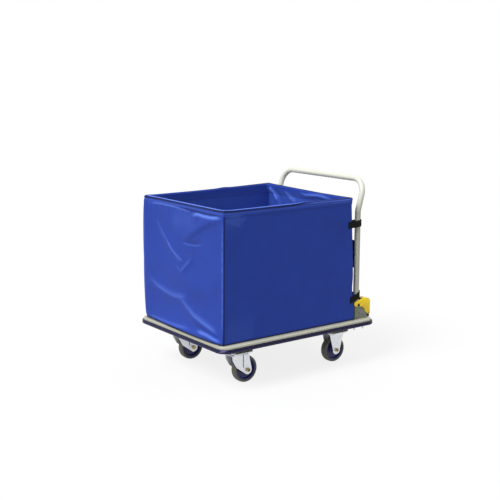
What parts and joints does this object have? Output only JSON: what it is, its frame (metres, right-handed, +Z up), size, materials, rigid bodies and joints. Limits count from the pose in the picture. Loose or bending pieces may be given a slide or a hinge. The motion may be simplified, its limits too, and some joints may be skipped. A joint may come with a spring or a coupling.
{
  "type": "enclosed storage cart",
  "caption": "Flat-deck hand cart on swivel and fixed casters, with a bent-tube push handle, foot-lever latches and an open-topped fabric box strapped to the handle.",
  "frame": {"origin": "on the floor under the middle of the deck", "axes": "+X towards the push handle, +Y to the right of the person who pushes, +Z up"},
  "size_m": [0.918, 0.718, 0.9066],
  "materials": {
    "cream_paint": "semi-gloss",
    "channel_paint": "semi-gloss",
    "bracket_paint": "satin",
    "lever_yellow": "gloss",
    "zinc_plate": "bright zinc plate",
    "yellow_zinc": "yellow zinc plate",
    "black_steel": "satin",
    "spring_steel": "oiled",
    "navy_bumper": "satin",
    "wheel_core": "satin",
    "tyre": "matt",
    "bush_plastic": "matt",
    "panel_plastic": "satin",
    "blue_fabric": "coated, slight sheen",
    "board": "matt",
    "webbing": "matt"
  },
  "bodies": {
    "chassis": {"deck_platform": "cream_paint", "edge_bumper": "navy_bumper", "front_crossmember": "channel_paint", "rear_crossmember": "channel_paint", "handle_crossmember": "channel_paint", "front_left_caster_plate": "zinc_plate", "front_left_kingpin": "zinc_plate", "front_right_caster_plate": "zinc_plate", "front_right_kingpin": "zinc_plate", "rear_left_fork": "zinc_plate", "rear_left_axle_bolt": "yellow_zinc", "rear_left_axle_nut": "yellow_zinc", "rear_right_fork": "zinc_plate", "rear_right_axle_bolt": "yellow_zinc", "rear_right_axle_nut": "yellow_zinc", "left_handle_bracket": "bracket_paint", "left_bracket_front_bolt": "zinc_plate", "left_bracket_rear_bolt": "zinc_plate", "left_handle_pivot_pin": "zinc_plate", "right_handle_bracket": "bracket_paint", "right_bracket_front_bolt": "zinc_plate", "right_bracket_rear_bolt": "zinc_plate", "right_handle_pivot_pin": "zinc_plate", "bag_shell": "blue_fabric", "bag_hem_frame": "zinc_plate", "left_side_board": "board", "right_side_board": "board", "left_upper_strap": "webbing", "left_lower_strap": "webbing", "right_upper_strap": "webbing", "right_lower_strap": "webbing"},
    "front_left_swivel": {"front_left_fork": "zinc_plate", "front_left_axle_bolt": "yellow_zinc", "front_left_axle_nut": "yellow_zinc"},
    "front_right_swivel": {"front_right_fork": "zinc_plate", "front_right_axle_bolt": "yellow_zinc", "front_right_axle_nut": "yellow_zinc"},
    "front_left_wheel": {"front_left_hub_bush": "bush_plastic", "front_left_wheel_core": "wheel_core", "front_left_tyre": "tyre"},
    "front_right_wheel": {"front_right_hub_bush": "bush_plastic", "front_right_wheel_core": "wheel_core", "front_right_tyre": "tyre"},
    "rear_left_wheel": {"rear_left_hub_bush": "bush_plastic", "rear_left_wheel_core": "wheel_core", "rear_left_tyre": "tyre"},
    "rear_right_wheel": {"rear_right_hub_bush": "bush_plastic", "rear_right_wheel_core": "wheel_core", "rear_right_tyre": "tyre"},
    "push_handle": {"handle_tube": "cream_paint", "handle_panel": "panel_plastic", "left_lever_pin": "black_steel", "left_lever_spring": "spring_steel", "right_lever_pin": "black_steel", "right_lever_spring": "spring_steel"},
    "left_lever": {"left_release_lever": "lever_yellow", "left_latch_pawl": "black_steel"},
    "right_lever": {"right_release_lever": "lever_yellow", "right_latch_pawl": "black_steel"}
  },
  "joints": [
    {"name": "front_left_caster_swivel", "type": "hinge", "parent": "chassis", "child": "front_left_swivel", "pos_m": [-0.284, -0.2227, 0.14], "axis": [0, 0, 1], "continuous": true},
    {"name": "front_right_caster_swivel", "type": "hinge", "parent": "chassis", "child": "front_right_swivel", "pos_m": [-0.284, 0.2227, 0.14], "axis": [0, 0, 1], "continuous": true},
    {"name": "front_left_wheel_spin", "type": "hinge", "parent": "front_left_swivel", "child": "front_left_wheel", "pos_m": [-0.2434, -0.2227, 0.0625], "axis": [0, 1, 0], "continuous": true},
    {"name": "front_right_wheel_spin", "type": "hinge", "parent": "front_right_swivel", "child": "front_right_wheel", "pos_m": [-0.2434, 0.2227, 0.0625], "axis": [0, 1, 0], "continuous": true},
    {"name": "rear_left_wheel_spin", "type": "hinge", "parent": "chassis", "child": "rear_left_wheel", "pos_m": [0.2935, -0.2227, 0.0625], "axis": [0, 1, 0], "continuous": true},
    {"name": "rear_right_wheel_spin", "type": "hinge", "parent": "chassis", "child": "rear_right_wheel", "pos_m": [0.2935, 0.2227, 0.0625], "axis": [0, 1, 0], "continuous": true},
    {"name": "handle_tilt", "type": "hinge", "parent": "chassis", "child": "push_handle", "pos_m": [0.364, 0, 0.257], "axis": [0, -1, 0], "range_deg": [0, 3.5], "deforming": ["left_upper_strap", "left_lower_strap", "right_upper_strap", "right_lower_strap"]},
    {"name": "left_lever_lift", "type": "hinge", "parent": "push_handle", "child": "left_lever", "pos_m": [0.364, -0.306, 0.291], "axis": [0, -1, 0], "range_deg": [0, 14], "stiffness_Nm_per_rad": 0.5, "springref_deg": -17.19},
    {"name": "right_lever_lift", "type": "hinge", "parent": "push_handle", "child": "right_lever", "pos_m": [0.364, 0.306, 0.291], "axis": [0, -1, 0], "range_deg": [0, 14], "stiffness_Nm_per_rad": 0.5, "springref_deg": -17.19}
  ],
  "couplings": [
    {"joint": "left_lever_lift", "follows": "handle_tilt", "ratio": 4},
    {"joint": "right_lever_lift", "follows": "handle_tilt", "ratio": 4}
  ]
}
